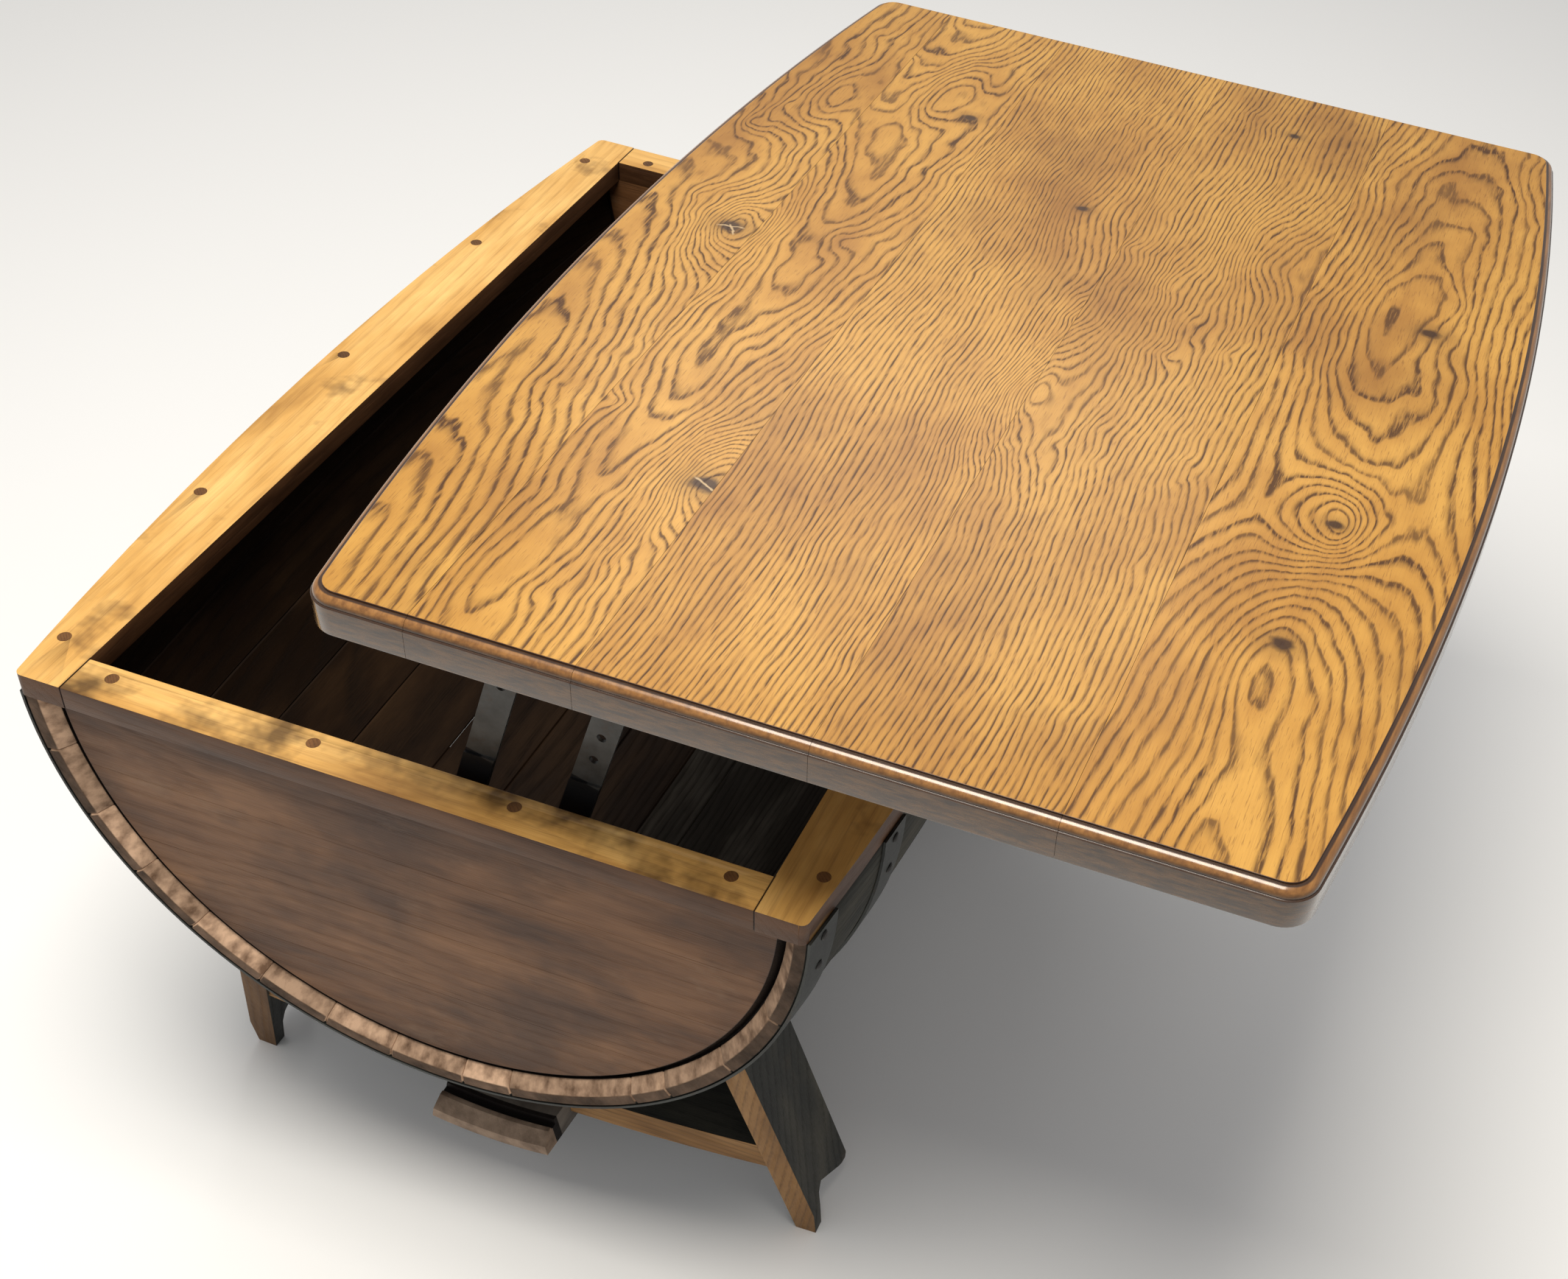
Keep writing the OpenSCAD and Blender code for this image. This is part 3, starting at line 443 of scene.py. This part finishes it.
def top_blank():
    """The whole top as one lofted solid: side, fillet, quarter round, step and field."""
    t = top_face - top_lo[2]
    # each ring is its inset from the outline and its height from the face
    rings = [(0.0012, -t), (0.0003, -t + 0.0003), (0.0, -t + 0.0012)]
    rings += [(0.0, -0.0082), (0.0004, -0.0078), (0.0012, -0.0076)]
    for a in range(0, 91, 10):
        rings.append((ROUND_INSET - ROUND_R * math.cos(math.radians(a)),
                      ROUND_Z + ROUND_R * math.sin(math.radians(a))))
    rings += [(0.0076, -0.0013), (0.0077, -0.0003), (0.0081, 0.0)]
    bm = bmesh.new()
    loops = []
    for inset, z in rings:
        loops.append([bm.verts.new((centre_x + x, y, top_face + z)) for x, y in outline(inset)])
    for a, b in zip(loops, loops[1:]):
        for i in range(len(a)):
            j = (i + 1) % len(a)
            bm.faces.new((a[i], a[j], b[j], b[i]))
    bm.faces.new(list(reversed(loops[0])))
    bm.faces.new(loops[-1])
    return bm


# Places on the top's face, from its middle: x across the boards, y along them
KNOT_A = (-0.270, 0.032)
KNOT_B = (-0.145, -0.279)
SWIRL = (0.018, -0.078)
BURL = (0.256, -0.137)
RINGS_A = (*KNOT_A, 0.026, 0.050, 0.060)
SPOT_A = (*KNOT_A, 0.012)
RINGS_SWIRL = (*SWIRL, 0.026, 0.07, 0.052)
TOP = [
    dict(pith=-0.330, depth=0.06, taper=0.075, spacing=0.0056, seed=1.3, tone=1.0,
         knots=[RINGS_A, (-0.285, 0.265, 0.030, 0.075, 0.040)], knot_spots=[SPOT_A],
         cracks=[(*KNOT_A, 0.2, 0.012), (KNOT_A[0] + 0.003, KNOT_A[1] - 0.004, -1.0, 0.009)]),
    dict(pith=-0.212, depth=0.035, taper=-0.085, spacing=0.0054, seed=4.1, tone=1.02,
         knots=[RINGS_A, (*KNOT_B, 0.026, 0.05, 0.055), (-0.200, 0.330, 0.035, 0.09, 0.050)],
         knot_spots=[(*KNOT_B, 0.012), (-0.165, 0.292, 0.007), SPOT_A],
         cracks=[(*KNOT_B, -0.5, 0.012)]),
    dict(pith=-0.330, depth=0.03, taper=0.012, spacing=0.0047, seed=7.7, tone=1.0,
         knots=[RINGS_SWIRL, (-0.030, 0.190, 0.030, 0.06, 0.020)], knot_spots=[(-0.030, 0.190, 0.006)]),
    dict(pith=-0.300, depth=0.03, taper=-0.015, spacing=0.0048, seed=9.2, tone=0.97,
         knots=[RINGS_SWIRL, (0.125, 0.180, 0.035, 0.07, 0.026)], knot_spots=[(0.100, 0.400, 0.006)]),
    dict(pith=0.262, depth=0.065, taper=0.075, spacing=0.0066, seed=12.4, tone=1.03,
         knots=[(*BURL, 0.030, 0.050, 0.080), (0.240, 0.150, 0.040, 0.130, -0.042),
                (0.248, -0.300, 0.030, 0.090, -0.030)],
         knot_spots=[(*BURL, 0.007), (0.272, 0.135, 0.009), (0.252, -0.275, 0.010)]),
]
BOARD_LINES = (-0.250, -0.1375, 0.016, 0.1705)
edge = edge_oak()
for i, spec in enumerate(TOP):
    bm = top_blank()
    cuts = [(BOARD_LINES[i], 1)] if i < len(BOARD_LINES) else []
    cuts += [(BOARD_LINES[i - 1], -1)] if i > 0 else []
    for at, sign in cuts:
        x = centre_x + at - sign * BOARD_GAP
        bmesh.ops.bisect_plane(bm, geom=bm.verts[:] + bm.edges[:] + bm.faces[:], plane_co=(x, 0, 0),
                               plane_no=(sign, 0, 0), clear_outer=True)
        rim = [e for e in bm.edges if len(e.link_faces) == 1]
        bmesh.ops.edgeloop_fill(bm, edges=rim)
    oak = lacquered_oak("oak_top_%d" % (i + 1), centre=top_centre, **spec)
    for f in bm.faces:
        flat = abs(f.normal.z) > 0.95 and f.calc_center_median().z > top_face - 0.0001
        f.material_index = 0 if flat else 1
    piece("top_oak_%d" % (i + 1), bm, [oak, edge], "top", "top_wood", "top_board_%d" % (i + 1))

HONEY = [(0.25, (0.28, 0.120, 0.024)), (0.45, (0.64, 0.350, 0.095)), (0.7, (0.86, 0.54, 0.190))]
HEAD = [(0.28, (0.045, 0.017, 0.006)), (0.45, (0.130, 0.056, 0.021)), (0.6, (0.190, 0.088, 0.036)),
        (0.75, (0.25, 0.120, 0.050))]
# The staves' insides: near-black, painted shade inside the barrel; a lighter grey for a few floor staves, a
# painted pool of light
INSIDE_PAINTED_LIGHT = [(0.25, (0.010, 0.0075, 0.005)), (0.5, (0.030, 0.024, 0.018)), (0.72, (0.105, 0.092, 0.074))]
INSIDE_PAINTED_SHADE = [(0.25, (0.005, 0.0022, 0.0009)), (0.5, (0.013, 0.0060, 0.0024)), (0.75, (0.034, 0.017, 0.007))]
CHARCOAL = [(0.25, (0.012, 0.0125, 0.012)), (0.5, (0.028, 0.028, 0.024)), (0.75, (0.070, 0.064, 0.048))]
SAWN = [(0.25, (0.090, 0.042, 0.014)), (0.5, (0.26, 0.135, 0.048)), (0.75, (0.42, 0.235, 0.095))]
HONEY_LINE = (0.22, 0.098, 0.026)
SAWN_LINE = (0.060, 0.028, 0.012)
CHARCOAL_LINE = (0.010, 0.009, 0.008)
# painted shade: near-black for the grooves and ledges beside the heads
SHADOW = (0.006, 0.003, 0.002)


# Where colours change, by the distance from the barrel's middle along it (Y) or from its axis (R)
END_RAIL_Y = 0.4094     # just short of the end rails
HEAD_Y = 0.41225        # by the heads' outer faces
BEVEL_Y = 0.4305        # just short of the bevel inside a stave's end
END_FACE_Y = 0.4406     # just short of a stave's end face
HEAD_R = 0.2794         # near the heads' rim
LEDGE_R = 0.28815       # outside the ledge between a head and the bevel


def rail_zones(joint):
    """Rails: planed honey faces up, dark brown weathered faces outwards, a dark line at the butt joint."""
    def zones(n, col):
        x, y, _ = n.split(n.coord)
        brown = n.ramp(n.noise(n.place(n.coord, scale=(14, 14, 60)), 1.0, 4.0),
                       [(0.3, (0.045, 0.018, 0.007)), (0.7, (0.115, 0.050, 0.020))])
        col = n.mix(n.span(n.math("ABSOLUTE", n.normal[2]), 0.75, 0.35), col, brown)
        gap = n.math("ABSOLUTE", n.math("SUBTRACT", n.math("ABSOLUTE", x), joint))
        at_end = n.edge(n.math("ABSOLUTE", y), END_RAIL_Y, 0.0004)
        near = n.math("MULTIPLY", n.edge(gap, 0.00065, -0.00025), at_end)
        return n.mix(n.math("MULTIPLY", near, 0.9), col, (0.020, 0.008, 0.004))
    return zones


def polar(n):
    """Distance from the barrel's axis, the outer radius there and the distance from the middle."""
    x, y, z = n.split(n.coord)
    r = n.hypot(x, n.math("SUBTRACT", z, AXIS_Z))
    q = n.math("DIVIDE", y, HALF)
    out = n.math("SUBTRACT", BILGE_R, n.math("MULTIPLY", n.math("MULTIPLY", q, q), BARREL_SWELL))
    return r, out, n.math("ABSOLUTE", y)


def stave_zones(seed, tone):
    """Staves: charcoal outside, a pale bevel and end face, and painted shade on the ledge outside the head.
    """
    def zones(n, col):
        r, out, y = polar(n)
        shell, _ = wood(n, "Y", CHARCOAL, CHARCOAL_LINE, 0.008, seed + 2.0)
        ends = n.ramp(n.noise(n.place(n.coord, scale=(60, 60, 60), offset=(seed, 0, 0)), 1.0, 4.0),
                      [(0.3, scaled((0.050, 0.031, 0.020), tone)),
                       (0.7, scaled((0.150, 0.095, 0.063), tone))])
        lip = n.ramp(n.noise(n.place(n.coord, scale=(90, 30, 90), offset=(seed, 4, 0)), 1.0, 4.0),
                     [(0.3, scaled((0.14, 0.080, 0.048), tone)),
                      (0.62, scaled((0.56, 0.370, 0.245), tone))])
        outer = n.edge(n.math("SUBTRACT", r, out), -0.0026, 0.0004)
        col = n.mix(n.edge(y, BEVEL_Y, 0.0003), col, lip)
        col = n.mix(outer, col, shell)
        flat = n.span(n.math("ABSOLUTE", n.normal[1]), 0.7, 0.9)
        col = n.mix(n.math("MULTIPLY", n.edge(y, END_FACE_Y, 0.0002), flat), col, ends)
        # painted shade on the ledge between the head and the bevel
        ledge = n.math("MULTIPLY", n.edge(y, HEAD_Y, 0.00025), n.edge(y, BEVEL_Y, -0.0003))
        return n.mix(n.math("MULTIPLY", ledge, n.edge(r, LEDGE_R, -0.00035)), col, SHADOW)
    return zones


def head_zones(n, col):
    """Heads: brown clouds and pale scuffs, and a line of painted shade where they enter the groove."""
    r, _, _ = polar(n)
    cloud = n.noise(n.place(n.coord, scale=(7, 7, 10)), 1.0, 4.0, 0.62)
    col = n.mix(n.span(cloud, 0.44, 0.64, 0.0, 0.74), col, (0.045, 0.019, 0.009))
    scuff = n.noise(n.place(n.coord, scale=(11, 11, 26), offset=(3, 1, 2)), 1.0, 5.0, 0.68)
    col = n.mix(n.span(scuff, 0.60, 0.76, 0.0, 0.35), col, (0.24, 0.15, 0.09))
    # painted shade where the head enters the groove
    return n.mix(n.edge(r, HEAD_R, 0.0004), col, SHADOW)


def leg_zones(n, col):
    """Legs: worn charcoal faces and sawn edges, which are darker on the left pair."""
    sawn, _ = wood(n, "Z", SAWN, SAWN_LINE, 0.007, 5.0)
    sawn = n.mix(n.span(n.split(n.coord)[0], -0.1, -0.2, 0.0, 0.6), sawn, (0.050, 0.022, 0.009))
    worn = n.noise(n.place(n.coord, scale=(14, 14, 8)), 1.0, 3.0)
    col = n.mix(n.span(worn, 0.58, 0.74, 0.0, 0.6), col, (0.085, 0.062, 0.038))
    return n.mix(n.span(n.math("ABSOLUTE", n.normal[1]), 0.6, 0.85), col, sawn)


def stretcher_zones(n, col):
    """Stretchers: charcoal with sawn edges."""
    sawn, _ = wood(n, "X", SAWN, SAWN_LINE, 0.006, 8.0)
    return n.mix(n.span(n.math("ABSOLUTE", n.normal[1]), 0.6, 0.85), col, sawn)


def centre_zones(n, col):
    """The centre stave: grey towards its ends and charcoal further in, a painted shadow of the barrel; a
    near-black line in the groove, painted shade; cream end grain.
    """
    a = n.math("ABSOLUTE", n.split(n.coord)[1])
    cream = n.ramp(n.noise(n.place(n.coord, scale=(50, 50, 50)), 1.0, 4.0),
                   [(0.3, (0.10, 0.062, 0.040)), (0.7, (0.38, 0.27, 0.19))])
    lit_end_grey = n.ramp(n.noise(n.place(n.coord, scale=(40, 12, 40)), 1.0, 4.0),
                   [(0.3, (0.060, 0.052, 0.045)), (0.7, (0.20, 0.175, 0.15))])
    # painted shadow: grey where light reaches the ends, the charcoal further in under the barrel stands for
    # the barrel's shadow
    col = n.mix(n.span(a, 0.330, 0.345), col, lit_end_grey)
    # painted shade: a near-black line in the groove
    groove = n.math("MULTIPLY", n.edge(a, 0.36525, 0.00025), n.edge(a, 0.37425, -0.00025))
    col = n.mix(groove, col, (0.008, 0.005, 0.004))
    return n.mix(n.edge(a, 0.3744, 0.0004), col, cream)


RAIL_JOINT = (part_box("end_rail_front")[1][0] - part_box("end_rail_front")[0][0]) / 2
for side, seed in (("left", 1.0), ("right", 2.0)):
    m = plain_wood("rail_" + side, "Y", HONEY, HONEY_LINE, 0.011, seed, stain=0.45,
                   stain_color=(0.085, 0.034, 0.010), line_amount=0.30, coat=0.15,
                   zones=rail_zones(RAIL_JOINT))
    eased("side_rail_" + side, 0.0012, m, "base", "rail_wood")
for end, seed in (("front", 3.0), ("back", 4.0)):
    m = plain_wood("rail_" + end, "X", HONEY, HONEY_LINE, 0.010, seed, stain=1.0,
                   stain_color=(0.034, 0.013, 0.004), line_amount=0.35, coat=0.15,
                   zones=rail_zones(RAIL_JOINT))
    eased("end_rail_" + end, 0.0012, m, "base", "rail_wood")
    m = plain_wood("head_" + end, "X", HEAD, (0.036, 0.014, 0.006), 0.015, seed, rough=(0.42, 0.6),
                   line_amount=0.16, coat=0.08, zones=head_zones, wander=2.0)
    paint("head_" + end, m)

# How pale the pale ends of staves 1 to 14 are; the insides of staves 9 to 12 are painted lighter grey, a
# painted pool of light on the barrel's floor, and the other insides are painted near-black as painted shade
STAVE_TONES = (1.0, 0.8, 1.15, 0.9, 1.25, 0.85, 1.1, 0.95, 1.3, 0.9, 1.0, 0.8, 0.75, 0.7)
PAINTED_LIGHT_STAVES = (9, 10, 11, 12)
for number, tone in enumerate(STAVE_TONES, 1):
    name = "stave_%d" % number
    seed = 1.7 * (number - 1) + 0.3
    inside = INSIDE_PAINTED_LIGHT if number in PAINTED_LIGHT_STAVES else INSIDE_PAINTED_SHADE
    m = plain_wood(name, "Y", inside, (0.004, 0.002, 0.001), 0.009, seed, line_amount=0.6,
                   rough=(0.60, 0.85), specular=0.12, zones=stave_zones(seed, tone))
    eased(name, 0.0011, m, "base", "stave_wood", 1)

LEG_WOOD = {"leg_": ("Z", leg_zones), "stretcher_": ("X", stretcher_zones), "centre_": ("Y", centre_zones)}
for start, (axis, zones) in LEG_WOOD.items():
    for name in [k for k in nodes if k.startswith(start)]:
        m = plain_wood("wood_" + name, axis, CHARCOAL, CHARCOAL_LINE, 0.010, len(name) * 0.7 + 0.1,
                       rough=(0.55, 0.8), zones=zones)
        eased(name, 0.0010, m, "base", "leg_wood")

hoop = steel("hoop_steel", (0.050, 0.054, 0.050), (0.018, 0.019, 0.018), (0.42, 0.62), 0.5, rust=0.35,
             scale=22)
for k in nodes:
    if "hoop_" in k and k != "hoop_nails":
        paint(k, hoop)
paint("hoop_nails", steel("nail_steel", (0.045, 0.042, 0.040), (0.015, 0.014, 0.013), (0.4, 0.6), 0.6,
                          scale=120))
black = steel("black_steel", (0.028, 0.028, 0.030), (0.010, 0.010, 0.011), (0.35, 0.5), 0.4,
              scale=80, seed=3.0)
zinc = steel("zinc_steel", (0.52, 0.52, 0.50), (0.34, 0.34, 0.33), (0.22, 0.36), 0.95,
             scale=150, seed=5.0)

pins = {j["child"]: j["pos_m"] for j in frame["record"]["behaviour"]["joints"] if j["parent"] == "base"}
STRAP_TOP = 0.0865


def strap_zones(pin):
    """The strap on an arm's lower half is black, up to STRAP_TOP from the lower pivot along the arm."""
    def zones(n, col):
        x, _, z = n.split(n.coord)
        dx = n.math("SUBTRACT", x, pin[0] - MID)
        dz = n.math("SUBTRACT", z, pin[2])
        along = n.math("ADD", n.math("MULTIPLY", dx, math.sin(ARM_LEAN)),
                       n.math("MULTIPLY", dz, math.cos(ARM_LEAN)))
        return n.mix(n.edge(along, STRAP_TOP, -0.0003), col, (0.016, 0.016, 0.017))
    return zones


for k in nodes:
    if k.startswith("arm_"):
        paint(k, steel("steel_" + k, (0.105, 0.105, 0.100), (0.045, 0.045, 0.043), (0.38, 0.55), 0.5,
                       rust=0.25, scale=45, seed=2.0, zones=strap_zones(pins[k])))
    elif k.startswith("hinge_plate") or k.startswith("bracket"):
        paint(k, black)
    elif k in ("lower_pivots", "upper_pivots", "hinge_screws", "rail_screws", "base_screws", "top_screws"):
        paint(k, zinc)
paint("rail_plugs", plain_wood("plug_wood", "Z", [(0.3, (0.050, 0.020, 0.006)), (0.7, (0.21, 0.092, 0.028))],
                               (0.02, 0.01, 0.005), 0.003, 5.0))
HIDDEN_WOOD = ("hinge_board_front", "hinge_board_back", "top_battens", "base_dowels")
for seed, k in enumerate(HIDDEN_WOOD, 6):
    paint(k, plain_wood("wood_" + k, "X", SAWN, (0.10, 0.045, 0.015), 0.009, float(seed)))

# ---------- floor, light and camera ----------

bpy.ops.mesh.primitive_plane_add(size=30, location=(0, 0, 0))
floor = bpy.context.object
floor.name = "floor"
m = Net("floor_paint")
floor.data.materials.append(m.surface((0.94, 0.94, 0.94, 1), 0.9, specular=0.1))

world = bpy.data.worlds.new("studio")
scene.world = world
world.use_nodes = True
background = world.node_tree.nodes["Background"].inputs
background["Color"].default_value = (1.0, 1.0, 1.0, 1)
background["Strength"].default_value = 0.42


def soft_light(name, at, to, size, power, color):
    """A rectangular area light at one place, turned towards another."""
    data = bpy.data.lights.new(name, "AREA")
    data.shape = "RECTANGLE"
    data.size, data.size_y = size
    data.energy = power
    data.color = color
    ob = bpy.data.objects.new(name, data)
    scene.collection.objects.link(ob)
    ob.location = at
    ob.rotation_euler = (Vector(to) - Vector(at)).to_track_quat("-Z", "Y").to_euler()


soft_light("key", (MID + 0.15, -0.75, 2.95), (MID + 0.1, 0, 0.5), (1.3, 1.3), 77, (1.0, 0.95, 0.86))
soft_light("back", (MID - 0.5, 1.9, 2.5), (MID + 0.1, 0, 0.6), (1.3, 0.7), 11, (1.0, 0.98, 0.94))

# Solved from the photo's outlines
cam_data = bpy.data.cameras.new("camera")
cam = bpy.data.objects.new("camera", cam_data)
scene.collection.objects.link(cam)
cam_data.sensor_width = 36.0
cam_data.lens = 48.72
cam_data.shift_x = -0.1757
cam_data.shift_y = 0.0226
cam_data.clip_end = 60
cam.location = (MID + 0.657, -1.312, 1.601)
cam.rotation_euler = (math.radians(48.25), math.radians(-5.56), math.radians(18.21))
scene.camera = cam

scene.view_settings.view_transform = "Standard"
